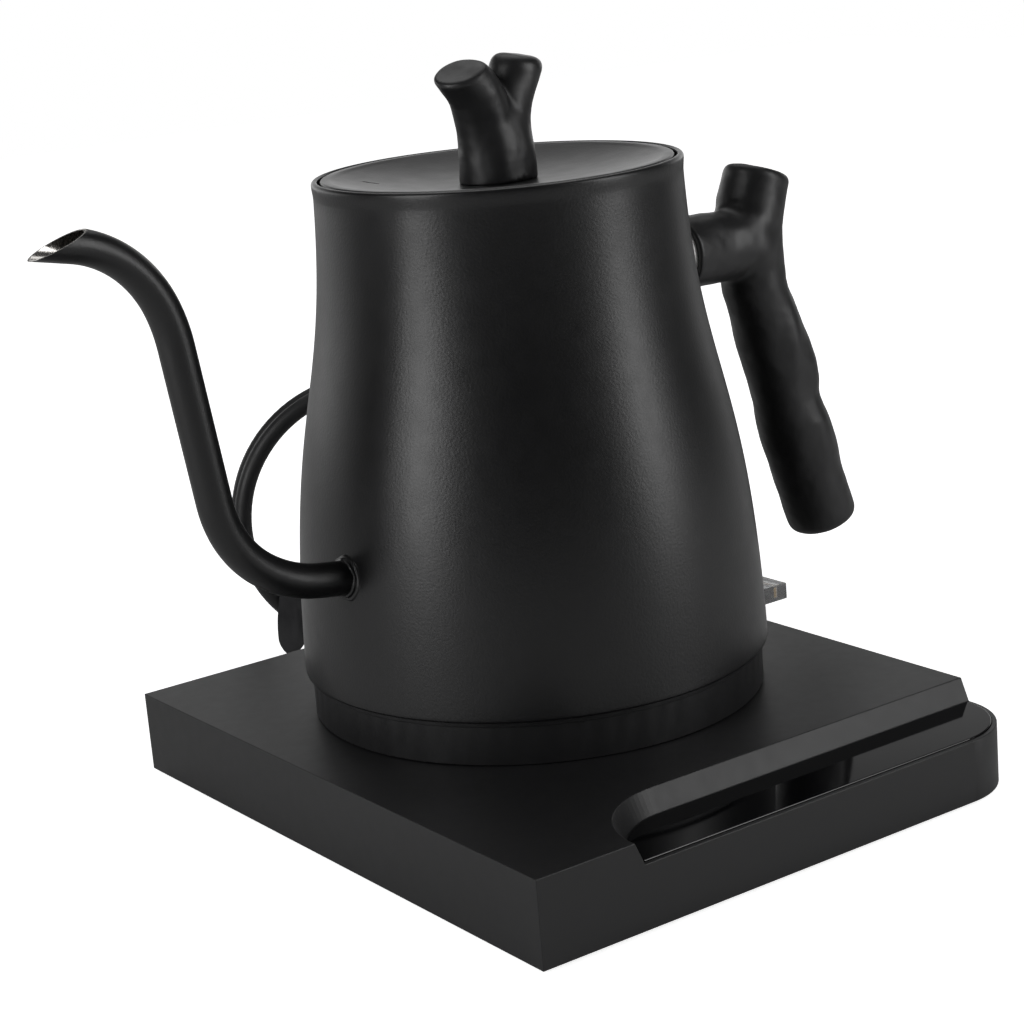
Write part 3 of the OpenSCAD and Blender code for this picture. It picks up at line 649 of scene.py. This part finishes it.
def make_weld():
    """The ground weld where the spout meets the wall: a low ridge, then a hollow fillet down to the wall."""
    ahead = spout_point([math.cos(math.radians(SPOUT_RISE)), math.sin(math.radians(SPOUT_RISE))])
    start = spout_point(SPOUT_START)
    across = np.array([0, 1, 0])
    upwards = np.cross(ahead, across)
    sides, steps = 96, 12
    reach = 1.7

    def on_wall(direction, r):
        """Where a line along the spout at a distance r from its axis comes out of the wall."""
        low, high = 0.0, 40.0
        for _ in range(40):
            s = (low + high) / 2
            p = start + ahead * s + direction * r
            if math.hypot(p[0], p[1]) < side_radius(p[2]):
                low = s
            else:
                high = s
        return start + ahead * s + direction * r

    rows = []
    for k in range(sides):
        a = 2 * math.pi * k / sides
        d = math.cos(a) * across + math.sin(a) * upwards
        wobble = 1 + 0.12 * math.sin(3 * a + 1) + 0.08 * math.sin(7 * a)
        corner = on_wall(d, SPOUT_R - 0.05)
        on_tube = corner + ahead * reach * wobble
        foot = on_wall(d, SPOUT_R + reach * wobble) - ahead * 0.05
        bend = corner + (on_tube - corner) * 0.28 + (foot - corner) * 0.28
        row = []
        for t in np.linspace(0, 1, steps + 1):
            p = (1 - t) ** 2 * on_tube + 2 * t * (1 - t) * bend + t * t * foot
            ridge = 0.32 * math.exp(-((t - 0.3) / 0.13) ** 2) + 0.22 * math.exp(-((t - 0.75) / 0.12) ** 2)
            row.append(p + ridge * wobble * (0.6 * d + 0.8 * ahead))
        row.append(corner - ahead * 0.6 + d * 0.3)
        rows.append(row)
    points = np.array(rows).transpose(1, 0, 2).reshape(-1, 3)
    piece = mesh_piece("spout_weld", on_kettle(points), ring_faces(steps + 2, sides, True),
                       [MATERIALS["black_coat"]], sharp=60)
    return finished(piece, "black_coat", "kettle", "spout_collar")


make_spout()
make_weld()


# ---------- branch handle and knob ----------

def rod_gap(points, line, radii):
    """Signed distance of points from the skin of a rod with a radius at each point of its line."""
    best = np.full(len(points), np.inf)
    for a, b, ra, rb in zip(line[:-1], line[1:], radii[:-1], radii[1:]):
        d = b - a
        t = np.clip((points - a) @ d / (d @ d), 0, 1)
        best = np.minimum(best, np.linalg.norm(points - a - t[:, None] * d, axis=1) - ra - (rb - ra) * t)
    return best


def blend_min(a, b, k):
    h = np.clip(0.5 + 0.5 * (b - a) / k, 0, 1)
    return b * (1 - h) + a * h - k * h * (1 - h)


def branch_gap(points, rods, blend, bumps, cuts):
    """Signed distance from a branch: rods that flow into each other, with soft bumps, and ends cut flat.

    blend is how far the rods flow together, at each of a list of heights."""
    flow = np.interp(points[:, 2], *blend)
    gap = None
    for line, radii in rods:
        one = rod_gap(points, line, radii)
        gap = one if gap is None else blend_min(gap, one, flow)
    for centre, size, height in bumps:
        gap = gap - height * np.exp(-np.sum(((points - centre) / np.array(size)) ** 2, axis=1))
    for at, outwards, edge in cuts:
        gap = -blend_min(-gap, -((points - at) @ outwards), edge)
    return gap


def branch(name, rods, blend, bumps, cuts, voxel):
    """A branch-shaped piece: the rods are joined and remeshed, then each point is drawn onto the skin."""
    points, faces, shift = [], [], 0
    for line, radii in rods:
        side_way = [0, 1, 0] if abs(unit(line[-1] - line[0])[1]) < 0.7 else [0, 0, 1]
        p, f = tube_mesh(line, radii, 32, side_way)
        points.append(p)
        faces += [tuple(i + shift for i in face) for face in f]
        shift += len(p)
    piece = mesh_piece(name, np.concatenate(points), faces)
    remesh = piece.modifiers.new("remesh", "REMESH")
    remesh.mode = "VOXEL"
    remesh.voxel_size = voxel * MM
    bake(piece)
    mesh = piece.data
    co = np.empty(len(mesh.vertices) * 3)
    mesh.vertices.foreach_get("co", co)
    co = co.reshape(-1, 3) / MM
    edges = np.empty(len(mesh.edges) * 2, int)
    mesh.edges.foreach_get("vertices", edges)
    edges = edges.reshape(-1, 2)
    neighbours = np.bincount(edges.ravel(), minlength=len(co))[:, None]
    probe = 0.05
    rounds = 8
    for k in range(rounds):
        gap = branch_gap(co, rods, blend, bumps, cuts)
        slope = np.column_stack([
            branch_gap(co + probe * axis, rods, blend, bumps, cuts) - gap for axis in np.eye(3)]) / probe
        move = gap / np.maximum(np.sum(slope ** 2, axis=1), 0.2)
        co -= np.clip(move, -1, 1)[:, None] * slope
        if k < rounds - 2:
            total = np.zeros_like(co)
            np.add.at(total, edges[:, 0], co[edges[:, 1]])
            np.add.at(total, edges[:, 1], co[edges[:, 0]])
            co = 0.5 * co + 0.5 * total / neighbours
    relief = [0.22 * noise.noise(Vector(p / 8)) + 0.09 * noise.noise(Vector(p / 3.2)) for p in co]
    co += np.array(relief)[:, None] * slope
    mesh.vertices.foreach_set("co", (on_kettle(co) * MM).ravel())
    mesh.materials.append(MATERIALS["branch_black"])
    tidy_mesh(mesh, 180)
    return piece


GRIP = [[110.2, 173.4, 10.9], [108.5, 169, 10.9], [106.2, 163, 11.2], [104.8, 156, 10.9],
        [104.8, 148, 10.9], [105.8, 136, 10.8], [109.2, 127, 11.1], [112.4, 117, 11.6], [115.7, 107.5, 12],
        [118, 96.5, 11.4], [120.9, 87.5, 11.9], [124, 78, 12.1], [127, 68, 11.9], [130.1, 58, 11.8],
        [132.3, 52, 11.7], [133, 49.7, 11.2]]
STEM_R = 11.7
STEM_IN = 71.3
HANDLE_BLEND = ([STEM_Z], [3.2])
END_OVERRUN = 6
# Soft bumps and dents: middle, size along each axis, height
HANDLE_BUMPS = [
    ([97, -9, 157], [6, 7, 5], 1.2),
    ([101, -13, 148], [5, 6, 5], 0.8),
    ([84, -10, 153], [6, 5, 6], -0.4),
    ([115, -8, 132], [6, 7, 9], -0.5),
    ([112, -11, 121], [4, 6, 12], 0.7),
    ([108, -12, 113], [4, 6, 12], -0.6),
    ([123, -8, 103], [6, 8, 8], 0.5),
    ([127, -8, 94], [6, 7, 6], -0.7),
    ([117, -12, 100], [4, 6, 9], -0.9),
    ([124, -12, 84], [4, 6, 10], 0.5),
    ([120, -11, 74], [5, 7, 10], -0.5),
    ([135, -7, 72], [6, 7, 7], -0.4),
    ([106, 9, 118], [6, 6, 10], 0.6),
    ([114, 8, 84], [7, 7, 8], 0.9),
    ([122, 10, 68], [7, 6, 10], 0.6),
]


def make_handle():
    grip = catmull(GRIP, 2)
    line = np.column_stack([grip[:, 0], np.zeros(len(grip)), grip[:, 1]])
    top_way, foot_way = unit(line[0] - line[2]), unit(line[-1] - line[-4])
    top, foot = line[0], line[-1]
    above, below = top + top_way * END_OVERRUN, foot + foot_way * END_OVERRUN
    line = np.concatenate([[above], line, [below]])
    radii = np.concatenate([[grip[0, 2]], grip[:, 2], [grip[-1, 2]]])
    stem = np.array([[STEM_IN - 4, 0, STEM_Z], [84, 0, STEM_Z - 0.3], [98, 0, STEM_Z - 1]])
    rods = [(line, radii), (stem, np.array([STEM_R, STEM_R - 0.2, STEM_R - 0.4]))]
    cuts = [(top, top_way, 3.2), (foot, foot_way, 3), (np.array([STEM_IN, 0, 0]), np.array([-1.0, 0, 0]), 1)]
    piece = branch("branch_handle", rods, HANDLE_BLEND, HANDLE_BUMPS, cuts, 0.7)
    return finished(piece, "branch_black", "kettle", "handle")


# The knob's two cut branches: x, y and height above the lid, and radius there
KNOB_LEFT = [[-1.4, 0.6, -3, 10], [-2.2, 0.3, 9.7, 9.1], [-3.7, -0.3, 18, 8.5], [-6.6, -1.1, 26, 8],
             [-11.9, -1.1, 32.5, 7.5], [-15.4, -0.8, 37, 7.4]]
KNOB_RIGHT = [[3.3, -0.4, -3, 8.6], [4, -0.1, 14, 8], [6.1, 0.7, 21.5, 7.6], [9.9, 1.1, 29, 7.7],
              [12.8, 1.3, 34.8, 8], [14.8, 1.3, 39, 8.2]]
KNOB_GAP = 0.15
KNOB_BLEND = ([RIM_Z + 5, RIM_Z + 20], [7, 1.8])
KNOB_BUMPS = [
    ([-5, -9, 6], [4, 4, 6], 0.5),
    ([8, -8, 5], [4, 5, 5], 0.5),
    ([-9, -7, 17], [4, 4, 6], -0.4),
    ([0, 9, 12], [5, 5, 6], 0.6),
    ([8, -6, 27], [4, 4, 4], -0.5),
    ([-10, 6, 24], [4, 4, 6], 0.4),
]


def make_knob():
    foot = np.array([0, 0, LEDGE_Z + KNOB_GAP])
    rods = []
    for stem in (KNOB_LEFT, KNOB_RIGHT):
        line = catmull(stem, 3)
        rods.append((line[:, :3] + foot, line[:, 3]))
    bumps = [(foot + at, size, height) for at, size, height in KNOB_BUMPS]
    cuts = [(foot + [-12.2, -1.1, 33.6], unit(np.array([-0.39, -0.19, 0.9])), 1.8),
            (foot + [12.6, 1.3, 35.6], unit(np.array([0.2, -0.1, 0.96])), 4.5),
            (foot, np.array([0, 0, -1.0]), 0.5)]
    piece = branch("branch_knob", rods, KNOB_BLEND, bumps, cuts, 0.45)
    return finished(piece, "branch_black", "lid", "lid_knob")


make_handle()
make_knob()


# ---------- cord's pieces ----------

def loft(name, sections, at, corner=2.0, sides=64):
    """A closed body along -Y from a place: sections of (distance, half width, half height, squareness)."""
    angles = 2 * math.pi * np.arange(sides) / sides
    c, s = np.cos(angles), np.sin(angles)
    rows = []
    for along, wide, high, square in sections:
        power = 2 / (corner + square)
        x = wide * np.sign(c) * np.abs(c) ** power
        z = high * np.sign(s) * np.abs(s) ** power
        rows.append(np.column_stack([x, np.full(sides, -along), z]) + at)
    faces = ring_faces(len(rows), sides, False)
    last = (len(rows) - 1) * sides
    faces += [tuple(range(sides - 1, -1, -1)), tuple(range(last, last + sides))]
    return mesh_piece(name, np.concatenate(rows), faces, sharp=40)


PLUG_AT = np.array([middle("plug")[0], corners("plug")[1][1], middle("plug")[2]])
PLUG_W, PLUG_L, PLUG_H = corners("plug")[1] - corners("plug")[0]
PLUG_NECK = 10
RELIEF_AT = np.array([CORD_EXIT[0], corners("strain_relief")[1][1], CORD_EXIT[2]])


def make_plug():
    """A moulded mains plug: a ribbed neck, rounded shoulders, finger grooves and a flat face."""
    sections = [(0, 4, 4, 0)]
    for k in range(4):
        start = 1.2 + 2.2 * k
        for step, r in ((0, 4.1), (0.3, 3.5), (0.9, 3.5), (1.2, 4.2)):
            sections.append((start + step, r + 0.2 * k, r + 0.2 * k, 0))
    body = PLUG_L - PLUG_NECK
    for t in np.linspace(0, 1, 9):
        swell = math.sin(math.pi / 2 * t)
        sections.append((PLUG_NECK + 0.36 * body * t, 5 + (PLUG_W / 2 - 5.4) * swell,
                         5 + (PLUG_H / 2 - 5.3) * swell, 2 * t))
    for k in range(4):
        start = PLUG_NECK + body * (0.42 + 0.1 * k)
        for step, deep in ((0, 0), (0.4, 0.5), (1.1, 0.5), (1.5, 0)):
            sections.append((start + step, PLUG_W / 2 - deep, PLUG_H / 2 - deep, 2.2))
    for back_from, deep in ((1.2, 0), (0.4, 0.25), (0, 1)):
        sections.append((PLUG_L - back_from, PLUG_W / 2 - deep, PLUG_H / 2 - deep, 2.4))
    piece = loft("mains_plug", sections, PLUG_AT)
    piece.data.materials.append(MATERIALS["plug_plastic"])
    return finished(piece, "plug_plastic", "base", "plug")


def make_relief():
    """A tapered sleeve with open ribs, its flange inside the back wall."""
    low = corners("strain_relief")[0]
    wall = RELIEF_AT[1] - BASE_BACK
    sections = [(0, 4.2, 4.2, 0)]
    ribs = 7
    for k in range(ribs):
        start = 1.6 + (wall - 3.2) * k / ribs
        r = 4.2 + 2.2 * start / wall
        sections += [(start, r, r, 0), (start + 0.5, r - 0.9, r - 0.9, 0), (start + 1.5, r - 0.9, r - 0.9, 0),
                     (start + 2, r + 0.1, r + 0.1, 0)]
    sections += [(wall - 0.6, 6.4, 6.4, 0), (wall - 0.1, 6.2, 6.2, 0), (wall - 0.05, 5.4, 5.4, 0),
                 (wall + 2.6, 5.4, 5.4, 0), (wall + 2.65, 7.3, 7.3, 0), (RELIEF_AT[1] - low[1], 7.3, 7.3, 0)]
    piece = loft("relief_sleeve", sections, RELIEF_AT)
    piece.data.materials.append(MATERIALS["cord_rubber"])
    return finished(piece, "cord_rubber", "base", "strain_relief")


TIE_ANGLE = 322
TIE_W = 13
TIE_T = 1.2
TAIL_HALF = 4.4
TAIL_SWELL = 1.2
TAIL_END_Z = 3


def make_tie():
    """A strap wrapped close round both passes of the coil, with a tail that hangs nearly to the table."""
    a = math.radians(TIE_ANGLE)
    outwards = math.sin(a) * COIL_WAY - math.cos(a) * UP
    ahead = math.cos(a) * COIL_WAY + math.sin(a) * UP
    first, second = coil_shift(TIE_ANGLE), coil_shift(TIE_ANGLE + 360)
    centre = COIL_CENTRE + COIL_R * outwards
    turns = np.linspace(0, 2 * math.pi, 48, endpoint=False)
    rows = []
    for v in np.linspace(-1, 1, 13):
        pinch = 0.25 * math.sin(5 * v) + 0.2 * math.cos(9 * v)
        for r in (CORD_D / 2 + 0.1, CORD_D / 2 + 0.1 + TIE_T):
            ring = []
            for u in turns:
                side_shift = second if math.cos(u) > 0 else first
                crease = 0.16 * math.sin(4 * u + 3 * v) if r > CORD_D / 2 + 1 else 0
                p = centre + (side_shift + (r + crease) * math.cos(u)) * COIL_AXIS
                p = p + (r + crease) * math.sin(u) * outwards
                ring.append(p + (v * TIE_W / 2 + pinch * math.sin(u) * 0.6) * ahead)
            rows.append(ring)
    inside, outside = rows[0::2], rows[1::2][::-1]
    points = [p for ring in inside + outside for p in ring]
    band = mesh_piece("tie_band", points, ring_faces(len(rows), len(turns), True), [MATERIALS["tie_strap"]],
                      sharp=50)
    finished(band, "tie_strap", "base", "cord_tie")

    root = centre + (first - CORD_D / 2 - 0.9) * COIL_AXIS - 3.6 * COIL_WAY + [0, 0, 11.5]
    drop = root[2] - TAIL_END_Z
    along, across = 26, 10
    sheet = []
    for i in range(along + 1):
        t = i / along
        tip = math.sqrt(max(1 - max((t - 0.72) / 0.3, 0) ** 2, 0.02))
        half = (TAIL_HALF + TAIL_SWELL * math.sin(math.pi * t)) * tip
        curl = -1.1 * math.sin(math.pi * t) - 0.6 * t
        row = []
        for k in range(across + 1):
            v = 2 * k / across - 1
            fold = 0.7 * math.exp(-((v - 0.35) / 0.22) ** 2) * math.sin(math.pi * min(t * 1.2, 1))
            row.append(root + half * v * COIL_WAY + (curl - fold + 0.5 * v * v) * COIL_AXIS
                       - (drop * t + 0.5 * math.sin(3 * v + 2) * t) * UP
                       - 2 * t * COIL_WAY)
        sheet.append(row)
    points = [p for row in sheet for p in row]
    wide = across + 1
    faces = [(i * wide + k, i * wide + k + 1, (i + 1) * wide + k + 1, (i + 1) * wide + k)
             for i in range(along) for k in range(across)]
    tail = mesh_piece("tie_tail", points, faces, [MATERIALS["tie_strap"]], sharp=60)
    thick = tail.modifiers.new("thickness", "SOLIDIFY")
    thick.thickness = TIE_T * MM
    bake(tail)
    tidy_mesh(tail.data, 50)
    finished(tail, "tie_strap", "base")


make_plug()
make_relief()
make_tie()


# ---------- edges of the CAD pieces ----------

EDGES = {"base_cover": 0.5, "touch_glass": 0.35, "kettle_skirt": 0.4, "pin_cover": 0.7, "plug_pins": 0.3,
         "base_feet": 0.4, "handle_spacer": 0.3}
for name, width in EDGES.items():
    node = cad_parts[name]
    node.modifiers.new("weld", "WELD").merge_threshold = 0.001 * MM
    flat = node.modifiers.new("flat", "DECIMATE")
    flat.decimate_type = "DISSOLVE"
    flat.angle_limit = math.radians(0.5)
    rounded(node, width)


# ---------- floor and light ----------

def stage_plane(name, size, at):
    bm = bmesh.new()
    bmesh.ops.create_grid(bm, x_segments=1, y_segments=1, size=size / 2)
    mesh = bpy.data.meshes.new(name)
    bm.to_mesh(mesh)
    bm.free()
    plane = add_object(name, mesh)
    plane.location = at
    return plane


FLOOR_SIZE = 4
LIGHTS_AIM_Z = 0.1
GLOW_NEAR = 0.84
GLOW_FROM = 0.12
GLOW_TO = 0.5
FLOOR_GREY = 0.9
ROOM_LIGHT = 0.04
BACKDROP_LIGHT = 1.4
BACKDROP_AZIMUTH = CAMERA_AZIMUTH + math.radians(15)


def make_floor():
    """A pale floor. A glow that only the camera sees brings it up to white."""
    m = bpy.data.materials.new("floor")
    m.use_nodes = True
    tree = m.node_tree
    tree.nodes.remove(tree.nodes["Principled BSDF"])
    diffuse = tree.nodes.new("ShaderNodeBsdfDiffuse")
    diffuse.inputs["Color"].default_value = (FLOOR_GREY, FLOOR_GREY, FLOOR_GREY, 1)
    place = tree.nodes.new("ShaderNodeTexCoord").outputs["Object"]
    away = tree.nodes.new("ShaderNodeVectorMath")
    away.operation = "LENGTH"
    tree.links.new(place, away.inputs[0])
    glow = ramp(tree, away.outputs["Value"], GLOW_FROM, GLOW_TO, GLOW_NEAR, 1)
    path = tree.nodes.new("ShaderNodeLightPath")
    emission = tree.nodes.new("ShaderNodeEmission")
    tree.links.new(multiply(tree, glow, path.outputs["Is Camera Ray"]), emission.inputs["Strength"])
    both = tree.nodes.new("ShaderNodeAddShader")
    tree.links.new(diffuse.outputs["BSDF"], both.inputs[0])
    tree.links.new(emission.outputs["Emission"], both.inputs[1])
    tree.links.new(both.outputs["Shader"], tree.nodes["Material Output"].inputs["Surface"])
    floor = stage_plane("floor", FLOOR_SIZE, (0, 0, 0))
    floor.data.materials.append(m)


def ramp(tree, value, low, high, start, stop):
    """Maps a value smoothly from one range to another."""
    node = tree.nodes.new("ShaderNodeMapRange")
    node.interpolation_type = "SMOOTHSTEP"
    for socket, number in (("From Min", low), ("From Max", high), ("To Min", start), ("To Max", stop)):
        node.inputs[socket].default_value = number
    tree.links.new(value, node.inputs["Value"])
    return node.outputs["Result"]


def multiply(tree, a, b):
    node = tree.nodes.new("ShaderNodeMath")
    node.operation = "MULTIPLY"
    tree.links.new(a, node.inputs[0])
    tree.links.new(b, node.inputs[1])
    return node.outputs["Value"]


def make_world():
    """A dim room with a white backdrop low down behind the kettle; the camera itself sees plain white."""
    world = bpy.data.worlds.new("room")
    bpy.context.scene.world = world
    world.use_nodes = True
    tree = world.node_tree
    background = tree.nodes["Background"]
    way = tree.nodes.new("ShaderNodeTexCoord").outputs["Generated"]
    behind = tree.nodes.new("ShaderNodeVectorMath")
    behind.operation = "DOT_PRODUCT"
    behind.inputs[1].default_value = (-math.sin(BACKDROP_AZIMUTH), math.cos(BACKDROP_AZIMUTH), 0)
    tree.links.new(way, behind.inputs[0])
    split = tree.nodes.new("ShaderNodeSeparateXYZ")
    tree.links.new(way, split.inputs[0])
    backdrop = multiply(tree, ramp(tree, behind.outputs["Value"], 0.3, 0.8, 0, 1),
                        ramp(tree, split.outputs["Z"], 0.08, 0.45, BACKDROP_LIGHT, 0))
    room = tree.nodes.new("ShaderNodeMath")
    room.inputs[1].default_value = ROOM_LIGHT
    tree.links.new(backdrop, room.inputs[0])
    path = tree.nodes.new("ShaderNodeLightPath")
    mix = tree.nodes.new("ShaderNodeMix")
    mix.inputs["B"].default_value = 1
    tree.links.new(room.outputs["Value"], mix.inputs["A"])
    tree.links.new(path.outputs["Is Camera Ray"], mix.inputs["Factor"])
    tree.links.new(mix.outputs["Result"], background.inputs["Strength"])
    background.inputs["Color"].default_value = (1, 1, 1, 1)


def softbox(name, azimuth, height, distance, width, tall, power):
    """A soft rectangular light that faces the kettle; azimuth as the camera's, in degrees."""
    a = math.radians(azimuth)
    light = bpy.data.lights.new(name, "AREA")
    light.shape = "RECTANGLE"
    light.size = width
    light.size_y = tall
    light.energy = power
    lamp = bpy.data.objects.new(name, light)
    bpy.context.scene.collection.objects.link(lamp)
    target = Vector((AXIS[0] * MM, AXIS[1] * MM, LIGHTS_AIM_Z))
    place = Vector((math.sin(a) * distance, -math.cos(a) * distance, height))
    lamp.location = target + place - Vector((0, 0, LIGHTS_AIM_Z))
    lamp.rotation_mode = "QUATERNION"
    lamp.rotation_quaternion = (lamp.location - target).to_track_quat("Z", "Y")
    return lamp


make_floor()
make_world()
softbox("softbox_left", -87, 0.5, 1.1, 0.4, 1.0, 6.6)
softbox("softbox_right", 36, 0.5, 1.1, 0.36, 1.0, 5.5)
softbox("softbox_top", 145, 1.3, 0.7, 1.0, 1.0, 4.0)
